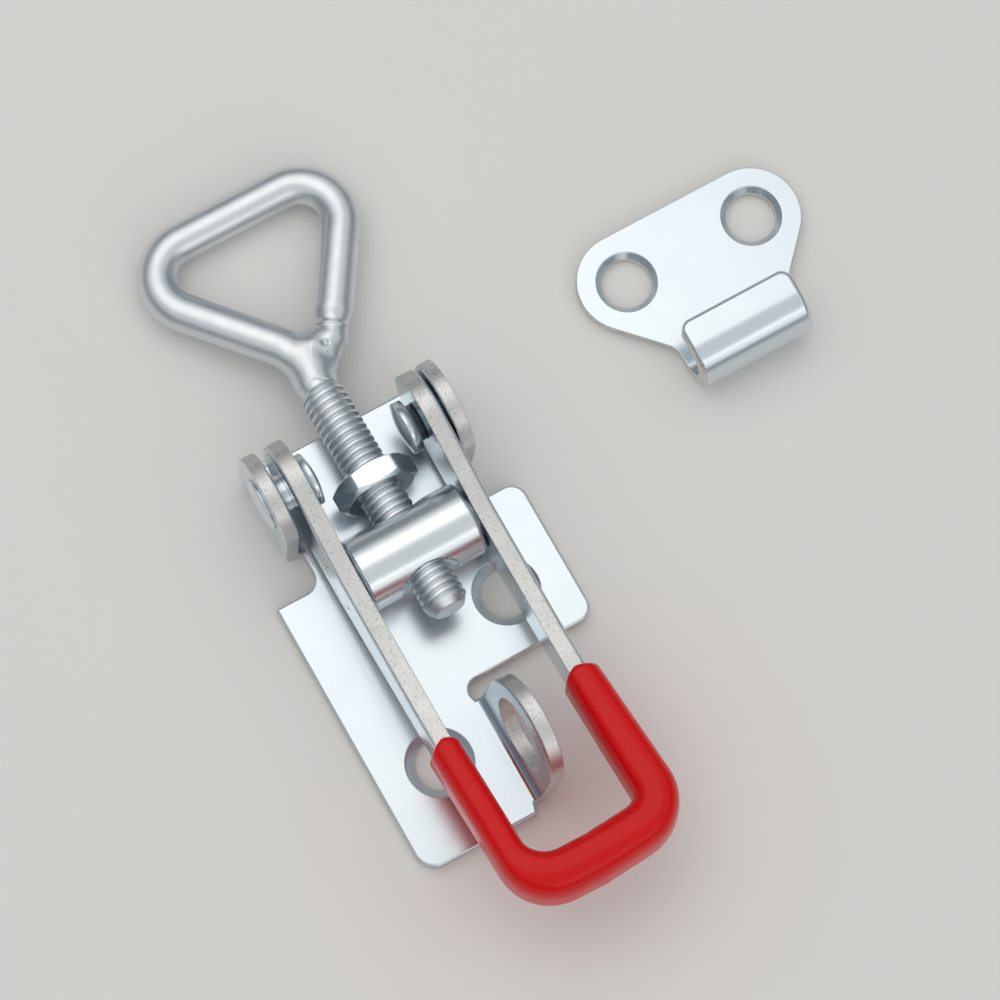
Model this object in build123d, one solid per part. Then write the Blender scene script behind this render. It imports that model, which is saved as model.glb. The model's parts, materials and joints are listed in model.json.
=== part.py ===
# Over centre toggle latch with its strike plate, millimetres.
# Origin: midway between the two screw holes of the base, on its underside.
# +Z up, +Y towards the wire loop, -Y towards the handle end, +X to the side of the lock tab's notch.
import os
from math import asin, atan2, cos, degrees, hypot, radians, sin

from build123d import *

# ---------------------------------------------------------------- driving dimensions
# steel sheet and bends
sheet = 2.0
bend_inner = 1.5

# base plate
base_hole_x = 9.25
base_hole_y = 7.7
base_hole_d = 6.6
base_sink_d = 9.0
wing_half_width = 17.9
base_tail_y = -19.4
base_nose_y = 37.3
corner_tail = 2.8
corner_wing = 2.2
relief_width = 4.7
relief_depth_past_ear = 2.4
relief_corner = 2.0

# ears that carry the lever
ear_radius = 6.4
pivot_y = 31.0
pivot_z = 11.0

# lock tab
tab_fold_x = -1.45
tab_y = -10.45
tab_radius = 7.65
tab_hole_y = -10.3
tab_hole_z = 9.35
tab_hole_d = 9.8
tab_top_z = 16.8
tab_lean = 7.5
tab_bend_inner = 1.0
tab_notch_top_y = -0.4
tab_notch_corner = 1.5

# pivot rivets
rivet_shank_d = 5.0
rivet_head_d = 7.2
rivet_outer_head = 0.8
rivet_inner_head = 1.8
rivet_dome_rise = 0.6
rivet_clearance = 0.06
rivet_side_gap = 0.12

# lever stamping, drawn level in its own frame and then lifted about the pivot
lever_lift = 5.0
lever_shift_x = 0.5
lever_side_gap = 0.3
lever_thickness = 2.5
lever_outer_width = 22.0
lever_eye_radius = 6.3
lever_boss_radius = 5.0
lever_strip_height = 7.4
lever_strip_drop = 3.6
lever_strip_start = 33.0
lever_length = 61.2
lever_corner = 6.5
lever_corner_inner = 4.0

# dipped grip
grip_wall = 1.1
grip_outer_wall = 1.5
grip_end_wall = 2.6
grip_start = 38.4
grip_round = 1.7

# trunnion
trunnion_reach = 13.5
trunnion_drop = 3.2
trunnion_d = 10.0
trunnion_journal_d = 6.0
trunnion_side_gap = 0.25
trunnion_mouth_d = 8.2
trunnion_mouth_depth = 1.6
journal_clearance = 0.06
trunnion_edge = 0.4

# loop bolt
thread_d = 5.9
wire_d = 5.2
thread_clearance = 0.06
rod_tail = 9.7
thread_end = 24.4
loop_bend_at = 30.8
loop_far = 52.0
loop_left = -17.5
loop_right = 19.3
loop_corner = 5.5
loop_neck_corner = 9.0
loop_leg_end_x = 5.6
loop_leg_end_y = 31.4
weld_foot_x = 0.8
weld_foot_y = 25.9
weld_foot_d = 3.6

# lock nut
nut_flats = 10.0
nut_height = 3.2
nut_gap = 3.2
nut_chamfer = 0.35

# strike plate
strike_x = 53.1
strike_hole_y = 36.2
strike_hole_spacing = 19.0
strike_hole_d = 6.6
strike_sink_d = 8.2
strike_lobe_radius = 6.65
strike_hook_width = 16.4
strike_throat_z = 5.6
strike_bend_y = 23.1
strike_lip = 3.4
strike_lip_corner = 1.6
strike_neck_y = 25.2
strike_neck_fillet = 3.0


# ---------------------------------------------------------------- worked-out sizes
lever_half = lever_outer_width / 2
arm_inner_half = lever_half - lever_thickness
bend_outer = bend_inner + sheet
ear_half_gap = lever_half + lever_shift_x + lever_side_gap
ear_outer = ear_half_gap + sheet
web_half = ear_outer - bend_outer
ear_front_y = pivot_y - ear_radius
lift = radians(lever_lift)
trunnion_y = pivot_y - trunnion_reach * cos(lift) - trunnion_drop * sin(lift)
trunnion_z = pivot_z + trunnion_reach * sin(lift) - trunnion_drop * cos(lift)
loop_slope = degrees(asin((trunnion_z - wire_d / 2) / loop_far))
nut_centre = trunnion_d / 2 + nut_gap + nut_height / 2


def polygon(points):
    """Closed straight-sided face on the XY plane."""
    return make_face(Polyline(*points, close=True))


def side_slab(sketch, x_from, x_to):
    """Solid with a side-view section, drawn as (y, z), between two x values."""
    plane = Plane(origin=(x_from, 0, 0), x_dir=(0, 1, 0), z_dir=(1, 0, 0))
    return extrude(plane * sketch, x_to - x_from)


def front_slab(sketch, y_from, y_to):
    """Solid with a front-view section, drawn as (x, z), between two y values."""
    plane = Plane(origin=(0, y_to, 0), x_dir=(1, 0, 0), z_dir=(0, -1, 0))
    return extrude(plane * sketch, y_to - y_from)


def countersunk_hole(x, y, hole_d, sink_d):
    """Tool for a screw hole through the sheet with a 90 degree countersink."""
    depth = (sink_d - hole_d) / 2
    hole = Pos(x, y, sheet / 2) * Cylinder(hole_d / 2, 2 * sheet)
    cone = Pos(x, y, sheet - depth / 2) * Cone(hole_d / 2, sink_d / 2, depth)
    return hole + cone


def slant_hull(circles):
    """Side outline wrapped tightly round a row of circles given as (y, z, radius)."""
    outline = None
    for (y0, z0, r0), (y1, z1, r1) in zip(circles, circles[1:]):
        pair = make_hull((Pos(y0, z0) * Circle(r0) + Pos(y1, z1) * Circle(r1)).edges())
        outline = pair if outline is None else outline + pair
    return outline


# ---------------------------------------------------------------- base plate
def ear_wall(side):
    """One upright ear with the bend at its foot; side is -1 or +1."""
    bend_axis = side * web_half
    section = Pos(bend_axis, bend_outer) * (Circle(bend_outer) - Circle(bend_inner))
    corner = Pos(bend_axis + side * bend_outer / 2, bend_outer / 2) * Rectangle(bend_outer, bend_outer)
    bend = front_slab(section & corner, ear_front_y, base_nose_y)
    outline = Pos(pivot_y, pivot_z) * Circle(ear_radius)
    foot_length = base_nose_y - ear_front_y
    foot_height = pivot_z - bend_outer
    foot_centre = (ear_front_y + base_nose_y) / 2
    outline += Pos(foot_centre, bend_outer + foot_height / 2) * Rectangle(foot_length, foot_height)
    near, far = sorted((side * ear_half_gap, side * ear_outer))
    return bend + side_slab(outline, near, far)


def lock_tab():
    """Round tab bent up along the notch, leaning a little outwards, with the padlock hole."""
    turn = 90 - tab_lean
    outer = tab_bend_inner + sheet
    centre_z = outer
    ring = Pos(tab_fold_x, centre_z) * (Circle(outer) - Circle(tab_bend_inner))
    reach = 4 * outer
    wedge = polygon([(tab_fold_x, centre_z),
                     (tab_fold_x, centre_z - reach),
                     (tab_fold_x + reach, centre_z - reach),
                     (tab_fold_x + reach * sin(radians(turn)), centre_z - reach * cos(radians(turn)))])
    bend = ring & wedge
    rise = tab_top_z / cos(radians(tab_lean))
    plate = Rectangle(sheet, rise, align=(Align.MIN, Align.MIN))
    plate = Pos(tab_fold_x, centre_z) * Rot(0, 0, -tab_lean) * Pos(tab_bend_inner, 0) * plate
    blank = front_slab(bend + plate, tab_y - tab_radius, tab_y + tab_radius)
    centre = tab_top_z - tab_radius
    outline = Pos(tab_y, centre) * Circle(tab_radius)
    outline += Pos(tab_y, centre / 2) * Rectangle(2 * tab_radius, centre)
    outline -= Pos(tab_hole_y, tab_hole_z) * Circle(tab_hole_d / 2)
    return blank & side_slab(outline, tab_fold_x - outer, tab_fold_x + reach)


def base_flat():
    """Flat blank of the base: web, both wings, reliefs beside the ears and the notch of the tab."""
    cove_y = ear_front_y - relief_width
    wings = polygon([(-wing_half_width, base_tail_y), (-wing_half_width, cove_y),
                     (wing_half_width, cove_y), (wing_half_width, tab_notch_top_y),
                     (tab_fold_x, tab_notch_top_y), (tab_fold_x, base_tail_y)])
    tail = wings.vertices().filter_by(lambda v: v.Y < base_tail_y + 0.1 and v.X < tab_fold_x - 0.1)
    wings = fillet(tail, corner_tail)
    outer = wings.vertices().filter_by(lambda v: v.X > wing_half_width - 0.1)
    wings = fillet(outer, corner_wing)
    inner = wings.vertices().filter_by(lambda v: abs(v.X - tab_fold_x) < 0.1 and v.Y > base_tail_y + 0.1)
    wings = fillet(inner, tab_notch_corner)
    relief_end = ear_half_gap - relief_depth_past_ear + sheet
    neck = polygon([(-relief_end, cove_y - 0.01), (-relief_end, ear_front_y),
                    (-web_half, ear_front_y), (-web_half, base_nose_y),
                    (web_half, base_nose_y), (web_half, ear_front_y),
                    (relief_end, ear_front_y), (relief_end, cove_y - 0.01)])
    blank = wings + neck
    corners = blank.vertices().filter_by(lambda v: abs(abs(v.X) - relief_end) < 0.05
                                         and abs(v.Y - cove_y) < 0.1)
    blank = fillet(corners, relief_corner)
    return extrude(blank, sheet)


def base_plate():
    """The whole stamped and folded base as one solid."""
    body = base_flat() + ear_wall(-1) + ear_wall(1) + lock_tab()
    body -= countersunk_hole(-base_hole_x, -base_hole_y, base_hole_d, base_sink_d)
    body -= countersunk_hole(base_hole_x, base_hole_y, base_hole_d, base_sink_d)
    hole = rivet_shank_d / 2
    body -= Pos(0, pivot_y, pivot_z) * Rot(0, 90, 0) * Cylinder(hole, 3 * ear_outer)
    return body


# ---------------------------------------------------------------- lever
def lever_side():
    """Side outline in the lever's own frame: eye round the pivot, boss round the trunnion, strip."""
    half = lever_strip_height / 2
    outline = slant_hull([(0, 0, lever_eye_radius),
                          (-trunnion_reach, -trunnion_drop, lever_boss_radius),
                          (-lever_strip_start, -lever_strip_drop, half)])
    strip = lever_length - lever_strip_start
    middle = -(lever_length + lever_strip_start) / 2
    outline += Pos(middle, -lever_strip_drop) * Rectangle(strip, lever_strip_height)
    return outline


def lever_plan(wall, outer_wall, end_wall, start):
    """U shaped plan of the lever with walls added inside and outside, from a start line to its closed end."""
    half = lever_half + outer_wall
    inner = arm_inner_half - wall
    end = -lever_length - end_wall
    inner_end = -lever_length + lever_thickness + wall
    outer_face = polygon([(-half, end), (half, end), (half, start), (-half, start)])
    low = outer_face.vertices().filter_by(lambda v: v.Y < end + 0.1)
    outer_face = fillet(low, lever_corner + outer_wall)
    inner_face = polygon([(-inner, inner_end), (inner, inner_end), (inner, start), (-inner, start)])
    low = inner_face.vertices().filter_by(lambda v: v.Y < inner_end + 0.1)
    inner_face = fillet(low, lever_corner_inner - wall)
    return outer_face - inner_face


def lifted(shape):
    """Carry a shape from the lever's own frame to its resting place."""
    return Pos(lever_shift_x, pivot_y, pivot_z) * Rot(-lever_lift, 0, 0) * shape


def lever_core():
    """U shaped lever stamping standing on edge, with its pivot and trunnion holes, in its own frame."""
    height = 4 * lever_eye_radius
    plan = Pos(0, 0, -height / 2) * extrude(lever_plan(0, 0, 0, lever_eye_radius), height)
    body = plan & side_slab(lever_side(), -2 * lever_half, 2 * lever_half)
    axis = Rot(0, 90, 0)
    body -= axis * Cylinder(rivet_shank_d / 2 + rivet_clearance, 4 * lever_half)
    journal = trunnion_journal_d / 2 + journal_clearance
    body -= Pos(0, -trunnion_reach, -trunnion_drop) * axis * Cylinder(journal, 4 * lever_half)
    return body


def grip_skin(core):
    """Soft vinyl skin dipped over the closed end of the lever, in the lever's own frame."""
    height = lever_strip_height + 2 * grip_wall
    plan = lever_plan(grip_wall, grip_outer_wall, grip_end_wall, -grip_start)
    skin = Pos(0, 0, -lever_strip_drop - height / 2) * extrude(plan, height)
    low = skin.bounding_box().min.Z
    rims = skin.edges().filter_by(lambda e: abs(e.center().Z - low) < 0.01
                                  or abs(e.center().Z - low - height) < 0.01)
    rims = rims.filter_by(lambda e: e.center().Y < -grip_start - 0.1)
    return fillet(rims, grip_round) - core


# ---------------------------------------------------------------- rivets
def pivot_rivet(side):
    """Stub rivet through one ear and one lever arm, domed at both ends."""
    inner_seat = side * (arm_inner_half - lever_shift_x - rivet_side_gap)
    outer_seat = side * ear_outer
    low, high = sorted((inner_seat, outer_seat))
    shank = Pos((low + high) / 2, 0, 0) * Rot(0, 90, 0) * Cylinder(rivet_shank_d / 2, high - low)
    heads = {side: rivet_outer_head, -side: rivet_inner_head}
    body = shank + rivet_head(low, -1, heads[-1]) + rivet_head(high, 1, heads[1])
    return Pos(0, pivot_y, pivot_z) * body


def rivet_head(seat, direction, height):
    """Low domed rivet head that stands from a seat towards -X or +X."""
    radius = rivet_head_d / 2
    dome = (radius ** 2 + rivet_dome_rise ** 2) / (2 * rivet_dome_rise)
    puck = Cylinder(radius, height, align=(Align.CENTER, Align.CENTER, Align.MIN))
    head = puck & Pos(0, 0, height - dome) * Sphere(dome)
    turn = Rot(0, 90 * direction, 0)
    return Pos(seat, 0, 0) * turn * head


# ---------------------------------------------------------------- trunnion, loop bolt, nut
rod_frame = Plane(origin=(lever_shift_x, trunnion_y, trunnion_z),
                  x_dir=(1, 0, 0),
                  z_dir=(0, sin(radians(loop_slope)), cos(radians(loop_slope))))


def trunnion():
    """Turned cross pin: fat middle between the arms, thin journals in their holes, threaded across."""
    length = 2 * (arm_inner_half - trunnion_side_gap)
    middle = Cylinder(trunnion_d / 2, length)
    middle = chamfer(middle.edges().filter_by(GeomType.CIRCLE), trunnion_edge)
    journal = Cylinder(trunnion_journal_d / 2, 2 * lever_half)
    body = Rot(0, 90, 0) * (middle + journal)
    cross = Cylinder(thread_d / 2 + thread_clearance, 2 * trunnion_d)
    mouth_start = trunnion_d / 2 - trunnion_mouth_depth
    mouth = Cylinder(trunnion_mouth_d / 2, trunnion_d, align=(Align.CENTER, Align.CENTER, Align.MIN))
    mouth = chamfer(mouth.edges().group_by(Axis.Z)[0], (trunnion_mouth_d - thread_d) / 2)
    for turn in (0, 180):
        cross += Rot(turn, 0, 0) * Pos(0, 0, mouth_start) * mouth
    return rod_frame * (body - Rot(90, 0, 0) * cross)


def loop_bolt():
    """Threaded rod whose plain end is bent into a triangular loop and welded back on itself."""
    threaded = Rot(-90, 0, 0) * Cylinder(thread_d / 2, rod_tail + thread_end)
    threaded = Pos(0, (thread_end - rod_tail) / 2, 0) * threaded
    threaded = chamfer(threaded.edges().filter_by(GeomType.CIRCLE), 0.35)
    path = FilletPolyline((0, thread_end - 1, 0), (0, loop_bend_at, 0), (loop_left, loop_far, 0),
                          (loop_right, loop_far, 0), (loop_leg_end_x, loop_leg_end_y, 0),
                          radius=[loop_neck_corner, loop_corner, loop_corner])
    wire = sweep(Plane(origin=path @ 0, z_dir=path % 0) * Circle(wire_d / 2), path=path)
    leg_end = Vector(loop_leg_end_x, loop_leg_end_y, 0)
    foot = Vector(weld_foot_x, weld_foot_y, 0)
    run = foot - leg_end
    bead = Cone(wire_d / 2, weld_foot_d / 2, run.length, align=(Align.CENTER, Align.CENTER, Align.MIN))
    bead = Plane(origin=leg_end, x_dir=(0, 0, 1), z_dir=run) * bead
    bead += Pos(leg_end) * Sphere(wire_d / 2)
    return rod_frame * (threaded + wire + bead)


def lock_nut():
    """Thin hexagon nut with its edges broken on both faces."""
    hexagon = RegularPolygon(nut_flats / 2, 6, major_radius=False)
    prism = extrude(hexagon, nut_height / 2, both=True)
    corner = nut_flats / 2 / cos(radians(30))
    cone = Cylinder(corner + 0.1, nut_height)
    cone = chamfer(cone.edges().filter_by(GeomType.CIRCLE), nut_chamfer, nut_chamfer * 1.6)
    blank = prism & Cylinder(corner, nut_height)
    blank -= Cylinder(thread_d / 2 + thread_clearance, 2 * nut_height)
    return rod_frame * (Pos(0, nut_centre, 0) * Rot(-90, 0, 0) * blank)


# ---------------------------------------------------------------- strike plate
def strike_plate():
    """Keeper: a plate with two rounded lobes whose tail is rolled up into a hook."""
    half_pitch = strike_hole_spacing / 2
    hook_half = strike_hook_width / 2
    top = polygon([(-half_pitch, strike_hole_y), (half_pitch, strike_hole_y),
                   (half_pitch, strike_hole_y + strike_lobe_radius),
                   (-half_pitch, strike_hole_y + strike_lobe_radius)])
    lobes = Pos(-half_pitch, strike_hole_y) * Circle(strike_lobe_radius)
    lobes += Pos(half_pitch, strike_hole_y) * Circle(strike_lobe_radius)
    span = hypot(half_pitch - hook_half, strike_hole_y - strike_neck_y)
    heading = atan2(strike_hole_y - strike_neck_y, half_pitch - hook_half) - asin(strike_lobe_radius / span)
    run = (span ** 2 - strike_lobe_radius ** 2) ** 0.5
    reach = hook_half + run * cos(heading)
    shoulder_y = strike_neck_y + run * sin(heading)
    skirt = polygon([(-reach, shoulder_y), (-hook_half, strike_neck_y), (-hook_half, strike_bend_y),
                     (hook_half, strike_bend_y), (hook_half, strike_neck_y), (reach, shoulder_y),
                     (half_pitch, strike_hole_y), (-half_pitch, strike_hole_y)])
    knees = skirt.vertices().filter_by(lambda v: abs(v.Y - strike_neck_y) < 0.05)
    skirt = fillet(knees, strike_neck_fillet)
    flat = extrude(top + lobes + skirt, sheet)
    inner = strike_throat_z / 2
    outer = inner + sheet
    centre_z = outer
    ring = Pos(strike_bend_y, centre_z) * (Circle(outer) - Circle(inner))
    ring &= Pos(strike_bend_y - outer / 2, centre_z) * Rectangle(outer, 2 * outer)
    lip = Pos(strike_bend_y + strike_lip / 2, 2 * outer - sheet / 2) * Rectangle(strike_lip, sheet)
    hook = side_slab(ring + lip, -hook_half, hook_half)
    tip = strike_bend_y + strike_lip
    corners = hook.edges().filter_by(Axis.Z).filter_by(lambda e: e.center().Y > tip - 0.1)
    hook = fillet(corners, strike_lip_corner)
    body = flat + hook
    for side in (-1, 1):
        body -= countersunk_hole(side * half_pitch, strike_hole_y, strike_hole_d, strike_sink_d)
    return Pos(strike_x, 0, 0) * body


# ---------------------------------------------------------------- write the nodes
core = lever_core()
nodes = {
    "base_plate": base_plate(),
    "pivot_rivet_left": pivot_rivet(-1),
    "pivot_rivet_right": pivot_rivet(1),
    "lever_frame": lifted(core),
    "lever_grip": lifted(grip_skin(core)),
    "trunnion": trunnion(),
    "loop_bolt": loop_bolt(),
    "lock_nut": lock_nut(),
    "strike_plate": strike_plate(),
}

os.makedirs("parts", exist_ok=True)
for name, shape in nodes.items():
    export_step(shape, f"parts/{name}.step")
    print(name, round(shape.volume, 1), "mm3")
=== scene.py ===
# Over centre toggle latch with its strike plate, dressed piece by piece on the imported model.
# Lengths in this file are real millimetres, turned to metres by MM where they meet Blender.
import json

import bmesh
import bpy
import numpy as np
from mathutils import Matrix, Vector


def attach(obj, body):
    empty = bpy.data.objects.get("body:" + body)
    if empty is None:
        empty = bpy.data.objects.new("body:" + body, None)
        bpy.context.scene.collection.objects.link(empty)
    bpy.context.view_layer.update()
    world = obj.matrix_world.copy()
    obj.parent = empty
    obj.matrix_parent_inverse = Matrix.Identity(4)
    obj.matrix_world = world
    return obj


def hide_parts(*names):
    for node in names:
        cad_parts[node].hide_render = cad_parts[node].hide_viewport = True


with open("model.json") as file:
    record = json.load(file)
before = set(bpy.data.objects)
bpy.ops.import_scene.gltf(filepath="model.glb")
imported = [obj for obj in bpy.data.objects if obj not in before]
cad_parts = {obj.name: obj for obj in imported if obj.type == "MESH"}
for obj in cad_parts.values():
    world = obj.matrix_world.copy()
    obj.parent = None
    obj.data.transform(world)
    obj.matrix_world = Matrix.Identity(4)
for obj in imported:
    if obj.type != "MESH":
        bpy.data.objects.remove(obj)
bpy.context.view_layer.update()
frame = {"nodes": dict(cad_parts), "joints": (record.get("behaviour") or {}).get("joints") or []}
MM = 0.001


# ---------------------------------------------------------------- bench top and light
# A plain pale sheet to stand on, under a broad diffusing ceiling. One soft box hangs beyond the
# loop, where flat zinc mirrors it to the eye, and a second stands low past the handle. The room
# itself is dim and cool.
def linear(code):
    """Turn an sRGB hex colour into linear RGBA, by the standard curve with its straight foot."""
    channels = np.array([int(code[i:i + 2], 16) for i in (1, 3, 5)]) / 255
    low, high = channels / 12.92, ((channels + 0.055) / 1.055) ** 2.4
    return (*np.where(channels <= 0.04045, low, high), 1.0)


def add_node(tree, kind, inputs=None, **settings):
    """Add one shader node; an input is a value, or (node, output name) for a link."""
    added = tree.nodes.new("ShaderNode" + kind)
    for name, value in settings.items():
        setattr(added, name, value)
    for name, value in (inputs or {}).items():
        if isinstance(value, tuple) and isinstance(value[0], bpy.types.Node):
            tree.links.new(value[0].outputs[value[1]], added.inputs[name])
        else:
            added.inputs[name].default_value = value
    return added


def start_material(name):
    """New node material; gives it back with its tree, Object coordinates and surface shader."""
    material = bpy.data.materials.new(name)
    material.use_nodes = True
    tree = material.node_tree
    shader = tree.nodes["Principled BSDF"]
    return material, tree, add_node(tree, "TexCoord"), shader


def surface_mesh(name, vertices, faces):
    """Smooth mesh from arrays in millimetres, with the points that fall together joined.

    The faces are turned round if the volume that they enclose, a sum of triple products of their
    corners, comes out negative, so that they point outwards.
    """
    points = np.asarray(vertices, float)
    a, b, c = points[faces[:, 0]], points[faces[:, 1]], points[faces[:, 2]]
    volume = np.einsum("ij,ij->i", a, np.cross(b, c)).sum()
    if faces.shape[1] == 4:
        d = points[faces[:, 3]]
        volume += np.einsum("ij,ij->i", a, np.cross(c, d)).sum()
    if volume < 0:
        faces = faces[:, ::-1]
    mesh = bpy.data.meshes.new(name)
    mesh.from_pydata((points * MM).tolist(), [], faces.tolist())
    shape = bmesh.new()
    shape.from_mesh(mesh)
    bmesh.ops.remove_doubles(shape, verts=shape.verts, dist=0.002 * MM)
    shape.to_mesh(mesh)
    shape.free()
    mesh.shade_smooth()
    return mesh


def add_object(name, mesh, *materials):
    """Put a mesh in the scene, at the origin, with its materials in its slots."""
    added = bpy.data.objects.new(name, mesh)
    bpy.context.collection.objects.link(added)
    mesh.materials.clear()
    for material in materials:
        mesh.materials.append(material)
    return added


def soft_box(name, width, depth, watts, centre, target, colour):
    """Rectangular area light at a centre, turned to face a target."""
    data = bpy.data.lights.new(name, "AREA")
    data.shape = "RECTANGLE"
    data.size = width * MM
    data.size_y = depth * MM
    data.energy = watts
    data.color = linear(colour)[:3]
    lamp = bpy.data.objects.new(name, data)
    turn = (Vector(centre) - Vector(target)).to_track_quat("Z", "Y").to_matrix().to_4x4()
    lamp.matrix_world = Matrix.Translation(Vector(centre) * MM) @ turn
    bpy.context.collection.objects.link(lamp)


bench_reach = 1500
bench_corners = np.array([[-1, -1, 0], [1, -1, 0], [1, 1, 0], [-1, 1, 0]]) * bench_reach
matt_bench_paint, tree, coords, shader = start_material("matt_bench_paint")
# Matt paint: an even, faintly warm off-white that takes soft shadows and gives no highlight.
shader.inputs["Base Color"].default_value = linear("#EDEBE8")
shader.inputs["Roughness"].default_value = 0.75
bench_mesh = surface_mesh("bench", bench_corners, np.array([[0, 1, 2, 3]]))
bench = add_object("bench", bench_mesh, matt_bench_paint)

soft_box("ceiling", width=2400, depth=2400, watts=8.6,
         centre=(-60, 20, 760), target=(-60, 19, 0), colour="#FFFDFA")
soft_box("overhead_box", width=620, depth=560, watts=0.76,
         centre=(-50, 320, 620), target=(-50, 319, 0), colour="#FFFAF4")
soft_box("handle_end_box", width=800, depth=420, watts=0.88,
         centre=(60, -760, 430), target=(40, 0, 0), colour="#FFFCF8")
room = bpy.data.worlds.new("room")
room.use_nodes = True
room_air = room.node_tree.nodes["Background"]
room_air.inputs["Color"].default_value = linear("#D3DCE2")
room_air.inputs["Strength"].default_value = 0.34
bpy.context.scene.world = room
bpy.context.scene.view_settings.view_transform = "Standard"


# ---------------------------------------------------------------- point of view
# From above the handle end, with the latch lying across the frame and its loop towards the top
# left. The lens is long, so the sheet metal hardly narrows with distance.
view_right = (0.86888901, -0.49237365, 0.05099097)
view_up = (0.46830392, 0.85102006, 0.23760533)
view_back = (-0.16038495, -0.18257338, 0.97002249)
view_place = (-79.137, -87.926, 568.041)
lens_data = bpy.data.cameras.new("camera")
lens_data.sensor_width = 36.0
lens_data.lens = 162.26
lens_data.clip_start = 10 * MM
camera = bpy.data.objects.new("camera", lens_data)
camera.matrix_world = (Matrix.Translation(Vector(view_place) * MM)
                       @ Matrix((view_right, view_up, view_back)).transposed().to_4x4())
bpy.context.collection.objects.link(camera)
bpy.context.scene.camera = camera


# ---------------------------------------------------------------- base plate
# One stamping of 2 mm mild steel: web, two wings, two ears and a round padlock tab, folded in a
# press and then bright zinc plated. The punch rolls the upper rim of every outline over; the
# lower rim stays crisp.
zinc_sheet, tree, coords, shader = start_material("zinc_plated_rolled_sheet")
# Bright zinc over cold rolled steel: near mirror, drifting from white to pale blue and veiled in
# slow patches. The steel's own grain is under 0.1 mm; it is made 0.4 mm wide, so that it shows.
drift = add_node(tree, "TexNoise", {"Vector": (coords, "Object"), "Scale": 1 / (30 * MM),
                                    "Detail": 1.0})
tint = add_node(tree, "Mix", {0: (drift, "Fac"), 6: linear("#E0E7EB"), 7: linear("#D2DDE5")},
                data_type="RGBA")
veil = add_node(tree, "TexNoise", {"Vector": (coords, "Object"), "Scale": 1 / (5 * MM),
                                   "Detail": 2.0})
haze = add_node(tree, "MapRange", {"Value": (veil, "Fac"), "From Min": 0.2, "From Max": 0.8,
                                   "To Min": 0.23, "To Max": 0.26})
grain = add_node(tree, "TexNoise", {"Vector": (coords, "Object"), "Scale": 1 / (0.4 * MM),
                                    "Detail": 1.0})
relief = add_node(tree, "Bump", {"Height": (grain, "Fac"), "Strength": 0.04,
                                 "Distance": 0.05 * MM})
tree.links.new(tint.outputs[2], shader.inputs["Base Color"])
tree.links.new(haze.outputs[0], shader.inputs["Roughness"])
tree.links.new(relief.outputs[0], shader.inputs["Normal"])
shader.inputs["Metallic"].default_value = 1.0

zinc_cut_edge, tree, coords, shader = start_material("zinc_plated_sheared_edge")
# A sheared edge under zinc: satin and slightly warm grey, peppered with 0.3 mm pits torn by the
# die, which sink in. The pits are also coloured darker: partly the torn steel's duller tone, partly
# painted shade in the pits.
band = add_node(tree, "TexNoise", {"Vector": (coords, "Object"), "Scale": 1 / (2.5 * MM),
                                   "Detail": 3.0})
tint = add_node(tree, "Mix", {0: (band, "Fac"), 6: linear("#E6E5E3"), 7: linear("#CDCDCC")},
                data_type="RGBA")
torn = add_node(tree, "TexNoise", {"Vector": (coords, "Object"), "Scale": 1 / (0.32 * MM),
                                   "Detail": 3.0})
pits_and_painted_shade = add_node(tree, "MapRange", {"Value": (torn, "Fac"), "From Min": 0.54, "From Max": 0.82})
# Painted shade: the pits take a darker colour, partly for the torn steel's duller tone and partly
# for the shade that falls in them.
pit_colour_and_painted_shade = add_node(tree, "Mix", {0: (pits_and_painted_shade, 0), 6: (tint, 2), 7: linear("#A3A1A0")},
                 data_type="RGBA")
relief = add_node(tree, "Bump", {"Height": (pits_and_painted_shade, 0), "Strength": 0.22, "Distance": 0.06 * MM},
                  invert=True)
tree.links.new(pit_colour_and_painted_shade.outputs[2], shader.inputs["Base Color"])
tree.links.new(relief.outputs[0], shader.inputs["Normal"])
shader.inputs["Roughness"].default_value = 0.42
shader.inputs["Metallic"].default_value = 1.0


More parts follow.
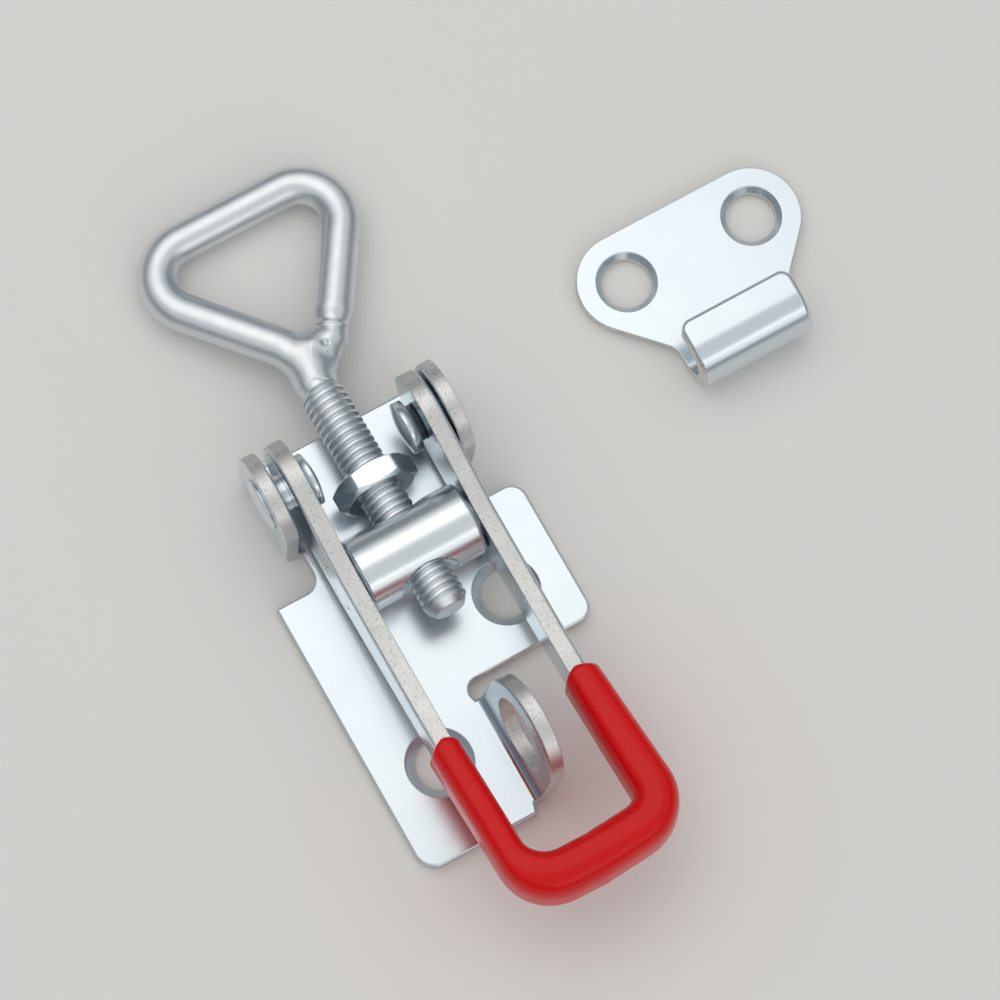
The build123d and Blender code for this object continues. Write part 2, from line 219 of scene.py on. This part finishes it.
def softened_copy(node, name, radius_rule, cut_rule, *materials):
    """Copy of a CAD surface, merged and with its flats made whole, whose sharp edges are rounded.

    An edge is sharp where its two faces turn by more than 28 degrees. radius_rule gives each
    edge's radius from its middle point and the two face normals; cut_rule says which faces, by
    centre and normal, take the second material.
    """
    mesh = frame["nodes"][node].data.copy()
    mesh.name = name
    mesh.materials.clear()
    mesh.attributes.remove(mesh.attributes["custom_normal"])
    shape = bmesh.new()
    shape.from_mesh(mesh)
    bmesh.ops.remove_doubles(shape, verts=shape.verts, dist=0.0005 * MM)
    flat_turn = np.radians(0.4)
    bmesh.ops.dissolve_limit(shape, angle_limit=flat_turn, verts=shape.verts, edges=shape.edges)
    shape.to_mesh(mesh)
    shape.free()
    mesh.shade_smooth()
    faces, edges, loops = len(mesh.polygons), len(mesh.edges), len(mesh.loops)
    normal, centre = np.empty(3 * faces), np.empty(3 * faces)
    mesh.polygons.foreach_get("normal", normal)
    mesh.polygons.foreach_get("center", centre)
    normal, centre = normal.reshape(-1, 3), centre.reshape(-1, 3) / MM
    sides, ring = np.empty(faces, int), np.empty(loops, int)
    mesh.polygons.foreach_get("loop_total", sides)
    mesh.loops.foreach_get("edge_index", ring)
    # The surface is closed, so each edge has a loop on either side of it. Sorted by edge, the
    # loops give each edge its two faces.
    owner = np.repeat(np.arange(faces), sides)[np.argsort(ring, kind="stable")].reshape(-1, 2)
    places, ends = np.empty(3 * len(mesh.vertices)), np.empty(2 * edges, int)
    mesh.vertices.foreach_get("co", places)
    mesh.edges.foreach_get("vertices", ends)
    middle = places.reshape(-1, 3)[ends.reshape(-1, 2)].mean(1) / MM
    first, second = normal[owner[:, 0]], normal[owner[:, 1]]
    sharp = np.einsum("ij,ij->i", first, second) < np.cos(np.radians(28))
    radius = np.where(sharp, radius_rule(middle, first, second), 0.0)
    largest = radius.max()
    weight = mesh.attributes.new("bevel_weight_edge", "FLOAT", "EDGE")
    weight.data.foreach_set("value", radius / largest)
    added = add_object(name, mesh, *materials)
    mesh.polygons.foreach_set("material_index", cut_rule(centre, normal).astype(int))
    rim = added.modifiers.new("rolled_rim", "BEVEL")
    rim.limit_method = "WEIGHT"
    rim.width = largest * MM
    rim.segments = 3
    rim.use_clamp_overlap = False
    rim.loop_slide = False
    rim.harden_normals = True
    return added


joints = {joint["name"]: joint for joint in frame["joints"]}
pivot = np.array(joints["lever_pivot"]["pos_m"]) / MM
crisp_rim = 0.12
# The flat sheet lies below sheet_top, and its folds end below fold_top.
sheet_top, fold_top = 2.05, 3.2
ear_front_y, ear_inside_x = 24.6, 9
crease_end_x, crease_top = 11.55, 2.3
tab_left_x, tab_right_x, tab_front_y, tab_hole = -1.46, 6, -2.7, (-10.3, 9.35)
base_screws = np.array([[-9.25, -7.7], [9.25, 7.7]])
# An edge that is nearer than this to the middle of a hole is part of its rim.
screw_reach, rivet_reach, tab_hole_reach = 5, 4, 5.1
# A unit normal looks mostly along an axis from 0.7 up, and hardly along it below 0.3.
mostly, hardly = 0.7, 0.3


def base_radius(middle, first, second):
    """Rims of the upper skin, which faced the punch, roll over by 0.4 mm; all others are crisp.

    On the ears and the tab the upper skin is the one inside the fold. Screw, rivet and padlock
    holes stay crisp, and the crease at the foot of the ears' front edges stays as it is.
    """
    across, along, up = middle.T
    ears = (along > ear_front_y - 0.1) & (np.abs(across) > ear_inside_x)
    tab = (across > tab_left_x) & (across < tab_right_x) & (along < tab_front_y)
    folded = ears | tab
    side = np.where(ears, np.sign(across), 1.0)
    upper = np.zeros(len(middle), bool)
    for normal in (first, second):
        broad = (up < fold_top) | (np.abs(normal[:, 0]) > mostly)
        broad &= np.abs(normal[:, 1]) < hardly
        inside = normal[:, 2] - 3 * normal[:, 0] * side > 0
        upper |= np.where(folded, broad & inside, normal[:, 2] > mostly)
    at_hole = np.linalg.norm(middle[:, None, :2] - base_screws, axis=2).min(1) < screw_reach
    at_hole |= folded & (np.linalg.norm(middle[:, 1:] - pivot[1:], axis=1) < rivet_reach)
    at_hole |= tab & (np.linalg.norm(middle[:, 1:] - tab_hole, axis=1) < tab_hole_reach)
    crease = (np.abs(along - ear_front_y) < 0.05) & (np.abs(across) < crease_end_x)
    crease &= up < crease_top
    return np.where(crease, 0.0, np.where(upper & ~at_hole, 0.4, crisp_rim))


def base_cuts(centre, normal):
    """Cut faces: upright ones at web height, and above it those that face along the folds."""
    low = (centre[:, 2] < sheet_top) & (np.abs(normal[:, 2]) < hardly)
    high = (centre[:, 2] > sheet_top) & (np.abs(normal[:, 0]) < hardly)
    return low | high


base_stamping = softened_copy("base_plate", "base_stamping", base_radius, base_cuts,
                              zinc_sheet, zinc_cut_edge)
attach(base_stamping, "base")
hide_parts("base_plate")


# ---------------------------------------------------------------- lever frame
# A U of 2.5 mm steel strip standing on edge, its eyes cropped round in the press. The blanking
# die leaves a broad rolled rim along the outer face and a matt torn band on the narrow faces.
swivel = np.array(joints["trunnion_swivel"]["pos_m"]) / MM
lever_middle = np.array([pivot[0], -15.0, 0])
lever_bend_y, lever_hole_reach = -20, 3.5


def lever_radius(middle, first, second):
    """Rims round the U's outer skin roll over by 0.6 mm; its inner skin and holes stay crisp.

    A rim is on the outer skin where its broad face looks away from the middle of the U.
    """
    from_middle = (middle - lever_middle) * [1, 1, 0]
    outside = np.zeros(len(middle), bool)
    for normal in (first, second):
        cross_bar = (middle[:, 1] < lever_bend_y) & (np.abs(normal[:, 2]) < 0.5)
        broad = (np.abs(normal[:, 0]) > mostly) | cross_bar
        outside |= broad & (np.einsum("ij,ij->i", normal, from_middle) > 0)
    holes = np.array([pivot[1:], swivel[1:]])
    from_hole = np.linalg.norm(middle[:, None, 1:] - holes, axis=2).min(1)
    return np.where(outside & (from_hole > lever_hole_reach), 0.6, crisp_rim)


def lever_cuts(centre, normal):
    """Cut faces are the narrow ones, which do not face sideways."""
    return np.abs(normal[:, 0]) < 0.5


lever_stamping = softened_copy("lever_frame", "lever_stamping", lever_radius, lever_cuts,
                               zinc_sheet, zinc_cut_edge)
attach(lever_stamping, "lever")
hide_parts("lever_frame")


# ---------------------------------------------------------------- dipped grip
# The closed end of the lever, dipped warm in liquid PVC and cured: a thick glossy red skin,
# fattest along the cross bar where it ran down, thin and a little uneven where the dip stopped.
def smooth(share):
    """Ease a share between 0 and 1 in and out: three times its square less twice its cube."""
    return share * share * (3 - 2 * share)


def filleted_path(corners, radii, step):
    """Points and headings along straight runs joined by arcs that touch both runs.

    On an arc the way from its start is the radius times the sine of the angle turned so far,
    ahead, and times one less its cosine, towards the inside of the bend.
    """
    corners = np.asarray(corners, float)
    legs = np.diff(corners, axis=0)
    headings = legs / np.linalg.norm(legs, axis=1)[:, None]
    places, tangents, start = [], [], corners[0]
    for k, radius in enumerate(radii):
        before, after = headings[k], headings[k + 1]
        turn = np.arctan2(before[0] * after[1] - before[1] * after[0], before @ after)
        trim = radius * np.tan(abs(turn) / 2)
        stop = corners[k + 1] - trim * before
        count = max(2, int(np.linalg.norm(stop - start) / step))
        places.append(start + np.linspace(0, 1, count, endpoint=False)[:, None] * (stop - start))
        tangents.append(np.broadcast_to(before, (count, 2)))
        count = max(4, int(abs(turn) * radius / step))
        turned_so_far = abs(turn) * np.linspace(0, 1, count, endpoint=False)[:, None]
        sine, cosine = np.sin(turned_so_far), np.cos(turned_so_far)
        inside = np.sign(turn) * np.array([-before[1], before[0]])
        places.append(stop + radius * (sine * before + (1 - cosine) * inside))
        tangents.append(cosine * before + sine * inside)
        start = corners[k + 1] + trim * after
    count = max(2, int(np.linalg.norm(corners[-1] - start) / step))
    places.append(start + np.linspace(0, 1, count)[:, None] * (corners[-1] - start))
    tangents.append(np.broadcast_to(headings[-1], (count, 2)))
    return np.concatenate(places), np.concatenate(tangents)


def grid_faces(rows, columns):
    """Quads of a grid whose last column joins its first, row by row."""
    i, j = np.meshgrid(np.arange(rows - 1), np.arange(columns), indexing="ij")
    k = (j + 1) % columns
    corners = (i * columns + j, i * columns + k, (i + 1) * columns + k, (i + 1) * columns + j)
    return np.stack(corners, -1).reshape(-1, 4)


def closed_tube(rings):
    """Vertices and quads of a tube through rings of points, both ends closed to the ring's mean."""
    count, around = rings.shape[:2]
    first = np.repeat(rings[:1].mean(1, keepdims=True), around, axis=1)
    last = np.repeat(rings[-1:].mean(1, keepdims=True), around, axis=1)
    tube = np.concatenate([first, rings, last])
    return tube.reshape(-1, 3), grid_faces(count + 2, around)


lever_rise = np.radians(5.0)


def lifted(points):
    """Carry points from the lever's level frame to rest: turned up about the pivot."""
    x, y, z = np.moveaxis(points, -1, 0)
    c, s = np.cos(lever_rise), np.sin(lever_rise)
    return pivot + np.stack([x, c * y + s * z, c * z - s * y], -1)


strip_centre_x, strip_centre_z = 9.75, -3.6
strip_half_width, strip_half_height = 1.2, 3.65
cross_bar_y, grip_start_y, right_arm_x = -59.95, -38.4, 7.0
grip_middle = np.array([0, -45.0])
skin_wall, lip_length, ragged_length = 1.0, 0.8, 3.0
swell_start_y, swell_length, flow_length = -54.0, 6.0, 20.0


def grip_surface():
    """Rings of the skin round the bar, in the lever's level frame.

    A section's outline is a superellipse of power 3: its half height, and its half widths towards
    and away from the middle of the U, are the strip's own plus a wall. The walls ease out towards
    the cross bar, more outside than inside, and the right arm's swell where the skin flowed. A
    quarter circle draws each end in to a lip, and sines of the angle slide it to and fro.
    """
    right_bend, left_bend = (10.85, cross_bar_y), (-9.2, cross_bar_y + 0.55)
    path, heading = filleted_path(
        [(strip_centre_x, grip_start_y), right_bend, left_bend, (-strip_centre_x, grip_start_y)],
        radii=(4.3, 5.5), step=0.25)
    run = np.concatenate([[0], np.cumsum(np.linalg.norm(np.diff(path, axis=0), axis=1))])
    from_end = np.minimum(run, run[-1] - run)[:, None]
    outward = np.stack([heading[:, 1], -heading[:, 0]], -1)
    outward *= np.sign((outward * (path - grip_middle)).sum(1))[:, None]
    swell = smooth(np.clip((swell_start_y - path[:, 1]) / swell_length, 0, 1))[:, None]
    flow = np.clip((grip_start_y - path[:, 1]) / flow_length, 0, 1)[:, None]
    right = np.clip(path[:, 0] / right_arm_x, 0, 1)[:, None]
    lip = np.clip(from_end / lip_length, 0, 1)
    lip = np.sqrt(lip * (2 - lip))
    inner_wall = skin_wall + 0.35 * swell + 0.7 * right * flow
    outer_wall = skin_wall + 1.5 * swell * (1 - right) + right * (0.55 + 0.25 * flow)
    upper_wall = skin_wall + 0.25 * swell

    angle = np.linspace(0, 2 * np.pi, 72, endpoint=False)
    outline = (np.abs(np.cos(angle)) ** 3 + np.abs(np.sin(angle)) ** 3) ** (-1 / 3)
    side_wall = np.where(np.cos(angle) > 0, outer_wall, inner_wall)
    sideways = outline * np.cos(angle) * (strip_half_width + side_wall * lip)
    upwards = outline * np.sin(angle) * (strip_half_height + upper_wall * lip)
    ragged = 0.25 * np.sin(2 * angle + 1.1) + 0.15 * np.sin(3 * angle)
    forwards = ragged * (1 - np.clip(from_end / ragged_length, 0, 1))
    forwards *= np.where(np.arange(len(path)) < len(path) / 2, 1, -1)[:, None]
    plan = (path[:, None] + sideways[..., None] * outward[:, None]
            + forwards[..., None] * heading[:, None])
    return np.concatenate([plan, strip_centre_z + upwards[..., None]], -1)


red_pvc, tree, coords, shader = start_material("dip_moulded_red_pvc")
# Plastisol PVC: saturated red right through, wet looking, with slow 6 mm waves where it flowed.
waves = add_node(tree, "TexNoise", {"Vector": (coords, "Object"), "Scale": 1 / (6 * MM),
                                    "Detail": 2.0})
tint = add_node(tree, "Mix", {0: (waves, "Fac"), 6: linear("#DA060A"), 7: linear("#E4080C")},
                data_type="RGBA")
relief = add_node(tree, "Bump", {"Height": (waves, "Fac"), "Strength": 0.25,
                                 "Distance": 0.3 * MM})
tree.links.new(tint.outputs[2], shader.inputs["Base Color"])
tree.links.new(relief.outputs[0], shader.inputs["Normal"])
shader.inputs["Roughness"].default_value = 0.24
shader.inputs["IOR"].default_value = 1.33
shader.inputs["Subsurface Weight"].default_value = 0.08
shader.inputs["Subsurface Radius"].default_value = (0.9 * MM, 0.15 * MM, 0.1 * MM)

grip_mesh = surface_mesh("vinyl_grip", *closed_tube(lifted(grip_surface())))
vinyl_grip = add_object("vinyl_grip", grip_mesh, red_pvc)
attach(vinyl_grip, "lever")
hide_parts("lever_grip")


# ---------------------------------------------------------------- pivot rivets
# Two stub rivets of mild steel bar, headed at both ends, that hang the lever between the ears.
# Each head is turned down to a low dome, and a dark ring shows where its rim meets the strip.
zinc_bar, tree, coords, shader = start_material("zinc_plated_turned_bar")
# Turned bar under bright zinc: close to a mirror, with tool rings round X that stretch its
# highlights. The real rings are finer; they are made 0.25 mm wide, so that they show.
stretch = add_node(tree, "Mapping", {"Vector": (coords, "Object"),
                                     "Scale": (1 / (0.25 * MM), 1 / (5 * MM), 1 / (5 * MM))})
rings = add_node(tree, "TexNoise", {"Vector": (stretch, "Vector"), "Scale": 1.0, "Detail": 2.0})
haze = add_node(tree, "MapRange", {"Value": (rings, "Fac"), "To Min": 0.23, "To Max": 0.29})
drift = add_node(tree, "TexNoise", {"Vector": (coords, "Object"), "Scale": 1 / (7 * MM),
                                    "Detail": 2.0})
tint = add_node(tree, "Mix", {0: (drift, "Fac"), 6: linear("#EDF0F2"), 7: linear("#D6DFE5")},
                data_type="RGBA")
tree.links.new(tint.outputs[2], shader.inputs["Base Color"])
tree.links.new(haze.outputs[0], shader.inputs["Roughness"])
shader.inputs["Metallic"].default_value = 1.0


def turned(profile, centre):
    """Spin a profile of (x, radius) pairs about a line along X through a centre."""
    turn = np.linspace(0, 2 * np.pi, 96, endpoint=False)
    x, radius = np.asarray(profile, float).T[..., None]
    rings = np.stack([np.broadcast_to(x, (len(x), len(turn))),
                      radius * np.cos(turn), radius * np.sin(turn)], -1)
    return closed_tube(rings + np.asarray(centre, float))


head_radius, head_shoulder, head_foot = 3.6, 0.3, 3.55


def head_profile(seat, direction, height, dome):
    """Half outline of a rivet head, from its middle out: a dome that falls with the square of the
    radius, a quarter round shoulder, and a short rim down to its seat."""
    shoulder_start = head_radius - head_shoulder
    r = np.linspace(0.05, shoulder_start, 16)
    top = seat + direction * (height - dome * (r / head_radius) ** 2)
    a = np.linspace(0, np.pi / 2, 7)[1:]
    shoulder = top[-1] - direction * head_shoulder * (1 - np.cos(a))
    shoulder_radius = shoulder_start + head_shoulder * np.sin(a)
    return [*zip(top, r), *zip(shoulder, shoulder_radius), (seat, head_foot)]


arm_face, ear_face, shank_radius = 7.88, 13.8, 2.5
rivet_line = (0, pivot[1], pivot[2])
for side, name in ((-1, "left"), (1, "right")):
    inner = head_profile(side * arm_face, -side, height=1.8, dome=0.6)
    outer = head_profile(side * ear_face, side, height=0.8, dome=0.45)
    shank = [(side * arm_face, shank_radius), (side * ear_face, shank_radius)]
    rivet_surface = turned(inner + shank + outer[::-1], rivet_line)
    rivet = add_object("stub_rivet_" + name, surface_mesh("stub_rivet_" + name, *rivet_surface),
                       zinc_bar)
    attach(rivet, "base")
    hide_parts("pivot_rivet_" + name)


# ---------------------------------------------------------------- trunnion
# A turned cross pin that swivels between the arms and carries the rod in a threaded cross hole
# whose mouths are counterbored; its journals turn in round holes in the strip.
def pin_radius(middle, first, second):
    """Turned and drilled rims are all broken by 0.15 mm."""
    return np.full(len(middle), 0.15)


def no_cuts(centre, normal):
    """Every face keeps the first material."""
    return np.zeros(len(centre), bool)


cross_pin = softened_copy("trunnion", "cross_pin", pin_radius, no_cuts, zinc_bar)
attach(cross_pin, "trunnion")
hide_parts("trunnion")


# ---------------------------------------------------------------- threaded rod and loop
# One length of wire: its straight end is rolled with an M6 thread, the rest is bent into a
# triangle and its tip is welded back on to the neck, leaving a smooth bead with a small pit.
rod_heading = joints["loop_adjust"]["axis"]


def along_rod(points):
    """Carry points from the rod's frame (x across, y along the rod, z up) to its resting place."""
    x, y, z = np.moveaxis(points, -1, 0)
    c, s = rod_heading[1], -rod_heading[2]
    return swivel + np.stack([x, c * y + s * z, c * z - s * y], -1)


rod_tail, thread_end = -9.7, 24.4
plain_start = thread_end + 0.9
pitch, crest, root, wire = 1.0, 2.95, 2.5, 2.6
run_out, chamfer_length, tail_radius = 1.4, 1.1, 2.1
around = np.linspace(0, 2 * np.pi, 64, endpoint=False)


def thread_surface():
    """Rings of the rolled thread: a radius for each way along the rod and angle round it.

    A point's phase is its way in pitches plus its share of a turn, so that the ridge climbs in a
    helix. A triangle wave of the phase, cut flat at top and bottom and eased, lifts the radius
    from root to crest. Towards the end the ridge fades and the radius passes over to the wire's.
    A cone over the tail chamfers the first turn, and a smaller ring starts the end face.
    """
    run = np.arange(rod_tail, plain_start, pitch / 14)[:, None]
    phase = (run / pitch + around / (2 * np.pi)) % 1.0
    ridge = smooth(np.clip(1.75 * (1 - np.abs(2 * phase - 1)) - 0.12, 0, 1))
    fade = np.clip((thread_end + 0.6 - run) / run_out, 0, 1)
    radius = (root + (crest - root) * ridge * fade) * fade + wire * (1 - fade)
    chamfer = tail_radius + (crest - tail_radius) * np.clip((run - rod_tail) / chamfer_length, 0, 1)
    radius = np.minimum(radius, chamfer)
    rings = np.stack([radius * np.cos(around), np.broadcast_to(run, radius.shape),
                      radius * np.sin(around)], -1)
    return np.concatenate([rings[:1] * [0.82, 1, 0.82], rings])


leg_end = np.array([5.6, 31.4])
loop_path, loop_heading = filleted_path(
    [(0, plain_start), (0, 30.8), (-17.5, 52.0), (19.3, 52.0), leg_end],
    radii=(9.0, 5.5, 5.5), step=0.3)
leg_heading = -loop_heading[-1]
neck_line = np.pad(loop_path[(loop_path[:, 1] < 44) & (loop_path[:, 0] < 1)], ((0, 0), (0, 1)))
welded_radius = 2.12


def leg_radius(from_end):
    """Radius of the leg at a distance from its end: eased down to 2.12 mm where it was heated and
    pressed, with a narrow bell curve added for the burr ring round its cut."""
    plain = smooth(np.clip((from_end - 0.5) / 2.2, 0, 1))
    burr = 0.2 * np.exp(-((from_end - 0.15) / 0.28) ** 2)
    return welded_radius + (wire - welded_radius) * plain + burr


def rounded_cone(points, begin, finish, begin_radius, finish_radius):
    """Distance to a bar with round ends whose radius changes evenly along it."""
    begin, finish = np.array([*begin, 0.0]), np.array([*finish, 0.0])
    axis = finish - begin
    t = np.clip(((points - begin) @ axis) / (axis @ axis), 0, 1)[..., None]
    radius = begin_radius + t[..., 0] * (finish_radius - begin_radius)
    return np.linalg.norm(points - begin - t * axis, axis=-1) - radius


def blended(first, second, width):
    """Lesser of two distances, filleted where they differ by less than a width: what is left of
    the width is squared, divided by four widths and taken off."""
    overlap = np.clip(width - np.abs(first - second), 0, None)
    return np.minimum(first, second) - overlap * overlap / (4 * width)


def weld_fields(points):
    """Distances to the neck, to the welded leg and to the weld metal between them.

    The weld metal is three rounded cones, up the neck, across to the leg and back down beside it,
    and a ball that fills the crotch. Crossed sines ripple it, and on its upper side a bell curve
    sinks a small blow hole inside the low rim of a wider one.
    """
    neck = np.linalg.norm(points[..., None, :] - neck_line, axis=-1).min(-1) - wire
    from_end = points - [*leg_end, 0]
    along = from_end @ [*leg_heading, 0]
    off_axis = from_end - np.maximum(along, 0)[..., None] * [*leg_heading, 0]
    leg = np.linalg.norm(off_axis, axis=-1) - leg_radius(along)
    up_neck = rounded_cone(points, (0.1, 25.3), (1.5, 29.9), 2.45, 2.6)
    across = rounded_cone(points, (1.5, 29.9), (5.2, 30.6), 2.2, 2.15)
    beside = rounded_cone(points, (4.6, 29.9), (2.4, 27.4), 1.9, 1.6)
    crotch = np.linalg.norm(points - [2.7, 31.0, 0], axis=-1) - 1.6
    seam = blended(blended(blended(up_neck, across, 1.0), beside, 0.8), crotch, 1.0)
    x, y, z = np.moveaxis(points, -1, 0)
    ripple = 0.03 * np.sin(2.4 * x + 1.1 * z) * np.sin(2.1 * y - 0.8 * z)
    from_hole = np.hypot(x - 3.58, y - 29.38) / 0.4
    pit = (0.5 * np.exp(-from_hole ** 2) - 0.16 * np.exp(-(from_hole / 2.4) ** 2)) * (z > 0)
    return neck, leg, seam + ripple + pit


def weld_surface(points):
    """Distance to all three, with a wide fillet at the neck and a tight one at the leg's cut."""
    neck, leg, seam = weld_fields(points)
    return blended(blended(neck, seam, 1.2), leg, 0.35)


def swollen(centres, rays, reach):
    """Follow rays outwards from inside the weld to its surface, in steps of the distance left,
    each 0.4 mm at most."""
    for _ in range(16):
        reach = reach + np.clip(-weld_surface(centres + reach[..., None] * rays), 0, 0.4)
    return reach


def spokes(path, heading):
    """Centres and rays of a tube: at each point of a level path, a fan of rays square to it.

    A ray is the sideways direction times its angle's cosine plus straight up times its sine.
    """
    sideways = np.stack([heading[:, 1], -heading[:, 0], np.zeros(len(heading))], -1)
    rays = np.cos(around)[:, None] * sideways[:, None] + np.sin(around)[:, None] * [0, 0, 1]
    centres = np.broadcast_to(np.pad(path, ((0, 0), (0, 1)))[:, None], rays.shape)
    return centres, rays


# Wire and bead both follow the weld's surface. Each sinks by this where the surface is the
# other's, so that their skins do not lie in one another.
hidden = 0.015


def loop_surface():
    """Rings of the bent wire: round, the leg's end pressed, and near the weld grown to its surface.

    A point less than 1.1 mm deep in the weld grows in full, one deeper than 1.5 mm not at all, and
    none by more than 1.6 mm.
    """
    centres, rays = spokes(loop_path, loop_heading)
    from_end = np.where(loop_path[:, 0] < 3, np.inf, np.linalg.norm(loop_path - leg_end, axis=1))
    reach = np.repeat(leg_radius(from_end)[:, None], len(around), axis=1)
    near = loop_path[:, 1] < 38
    own = reach[near]
    depth = weld_surface(centres[near] + own[..., None] * rays[near])
    shown = np.clip((depth + 1.5) / 0.4, 0, 1)
    grown = np.minimum(swollen(centres[near], rays[near], own), own + 1.6)
    neck, leg, seam = weld_fields(centres[near] + grown[..., None] * rays[near])
    reach[near] = own + (grown - own) * shown - hidden * (seam < np.minimum(neck, leg))
    return centres + reach[..., None] * rays


def bead_surface():
    """Rings of the weld bead: rays from a line inside it, 0.9 mm long at first, are grown to the
    weld's surface, but no longer than 3.4 mm."""
    centres, rays = spokes(*filleted_path(
        [(6.4, 32.4), (5.0, 30.5), (3.2, 29.0), (1.9, 26.7), (1.0, 24.9)],
        radii=(1.5, 2.5, 1.5), step=0.12))
    inside = np.full(rays.shape[:2], 0.9)
    reach = np.minimum(swollen(centres, rays, inside), 3.4)
    neck, leg, seam = weld_fields(centres + reach[..., None] * rays)
    reach = reach - hidden * (seam > np.minimum(neck, leg))
    return centres + reach[..., None] * rays


zinc_wire, tree, coords, shader = start_material("zinc_plated_drawn_wire")
# Drawn wire under bright zinc: smooth and bright, with a soft cool drift. Its real grain is under
# 0.1 mm and would not show; faint patches of gloss, 1.2 mm wide, stand for it.
drift = add_node(tree, "TexNoise", {"Vector": (coords, "Object"), "Scale": 1 / (9 * MM),
                                    "Detail": 2.0})
tint = add_node(tree, "Mix", {0: (drift, "Fac"), 6: linear("#EAECEE"), 7: linear("#D2DAE0")},
                data_type="RGBA")
skin = add_node(tree, "TexNoise", {"Vector": (coords, "Object"), "Scale": 1 / (1.2 * MM),
                                   "Detail": 2.0})
haze = add_node(tree, "MapRange", {"Value": (skin, "Fac"), "To Min": 0.28, "To Max": 0.44})
relief = add_node(tree, "Bump", {"Height": (skin, "Fac"), "Strength": 0.1,
                                 "Distance": 0.05 * MM})
tree.links.new(tint.outputs[2], shader.inputs["Base Color"])
tree.links.new(haze.outputs[0], shader.inputs["Roughness"])
tree.links.new(relief.outputs[0], shader.inputs["Normal"])
shader.inputs["Metallic"].default_value = 1.0

rod_rings = np.concatenate([thread_surface(), loop_surface()[1:]])
rod_points, rod_faces = closed_tube(along_rod(rod_rings))
bead_points, bead_faces = closed_tube(along_rod(bead_surface()))
rod_mesh = surface_mesh("rod_and_loop", np.concatenate([rod_points, bead_points]),
                        np.concatenate([rod_faces, bead_faces + len(rod_points)]))
rod_and_loop = add_object("rod_and_loop", rod_mesh, zinc_wire)
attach(rod_and_loop, "loop_bolt")
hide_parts("loop_bolt")


# ---------------------------------------------------------------- lock nut
# A thin cold formed hexagon nut, both faces chamfered, run up the rod to jam against the pin.
# Its thread is hidden on the rod's, so the bore is plain, at the thread's root.
nut_centre, nut_half, nut_apothem = 9.8, 1.6, 5.0
mouth_radius, mouth_depth, chamfer_start = 3.1, 0.6, 4.75


def nut_surface():
    """Rings of the nut, from its bore out over the upper face, down the flats and back in below.

    In each direction the flats lie at one over the 70th root of a sum of 70th powers, one for each
    of the six: the cosine to the flat, over the apothem. That rounds the corners a little. The
    chamfer is a cone of 30 degrees, so the flats start lower where they reach further out.
    """
    turn = np.linspace(0, 2 * np.pi, 144, endpoint=False)
    flats = np.arange(6) * np.pi / 3
    facing = np.clip(np.cos(turn[:, None] - flats), 0, None) / nut_apothem
    edge = (facing ** 70).sum(1) ** (-1 / 70)
    edge_top = nut_half - (edge - chamfer_start) * np.tan(np.radians(30))
    upper = [(root, nut_half - mouth_depth), (mouth_radius, nut_half), (chamfer_start, nut_half),
             (edge, edge_top)]
    lower = [(radius, -height) for radius, height in upper[::-1]]
    rings = [[radius * np.sin(turn), np.broadcast_to(nut_centre + height, turn.shape),
              radius * np.cos(turn)] for radius, height in [lower[-1], *upper, *lower]]
    return np.moveaxis(np.array(rings), 1, -1)


nut_rings = along_rod(nut_surface())
nut_mesh = surface_mesh("jam_nut", nut_rings.reshape(-1, 3), grid_faces(*nut_rings.shape[:2]))
jam_nut = add_object("jam_nut", nut_mesh, zinc_bar)
broken = jam_nut.modifiers.new("broken_edge", "BEVEL")
broken.limit_method = "ANGLE"
broken.angle_limit = np.radians(24)
broken.width = 0.08 * MM
broken.segments = 2
broken.harden_normals = True
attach(jam_nut, "lock_nut")
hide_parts("lock_nut")


# ---------------------------------------------------------------- strike plate
# The keeper that the loop pulls on: 2 mm steel with two countersunk lobes, its tail rolled up
# into a hook. It is a separate stamping and stands beside the latch.
roll_y, roll_z = 23.1, 4.8
keeper_screws = np.array([[43.6, 36.2], [62.6, 36.2]])


def keeper_radius(middle, first, second):
    """Rims of the lower skin, which the roll turns outwards on the hook, roll over by 0.7 mm.

    It is the skin that looks away from the axis of the roll. All other rims are crisp, and so are
    those of the screw holes.
    """
    outside = np.zeros(len(middle), bool)
    for normal in (first, second):
        flat = (middle[:, 1] > roll_y) & (middle[:, 2] < sheet_top)
        rolled = (np.abs(normal[:, 0]) < hardly) & (normal[:, 1] < 0.9)
        skin = np.where(flat, np.abs(normal[:, 2]) > mostly, rolled)
        away = normal[:, 1] * (middle[:, 1] - roll_y) + normal[:, 2] * (middle[:, 2] - roll_z)
        outside |= skin & (away > 0)
    at_hole = np.linalg.norm(middle[:, None, :2] - keeper_screws, axis=2).min(1) < screw_reach
    return np.where(outside & ~at_hole, 0.7, crisp_rim)


def keeper_cuts(centre, normal):
    """Cut faces: upright ones at plate height, and the hook's flanks and lip end."""
    plate = (centre[:, 2] < sheet_top) & (np.abs(normal[:, 2]) < hardly) & (centre[:, 1] > 23)
    flanks = np.abs(normal[:, 0]) > 0.95
    lip_end = (normal[:, 1] > 0.95) & (centre[:, 2] > 3)
    return plate | flanks | lip_end


keeper = softened_copy("strike_plate", "keeper_stamping", keeper_radius, keeper_cuts,
                       zinc_sheet, zinc_cut_edge)
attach(keeper, "base")
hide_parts("strike_plate")
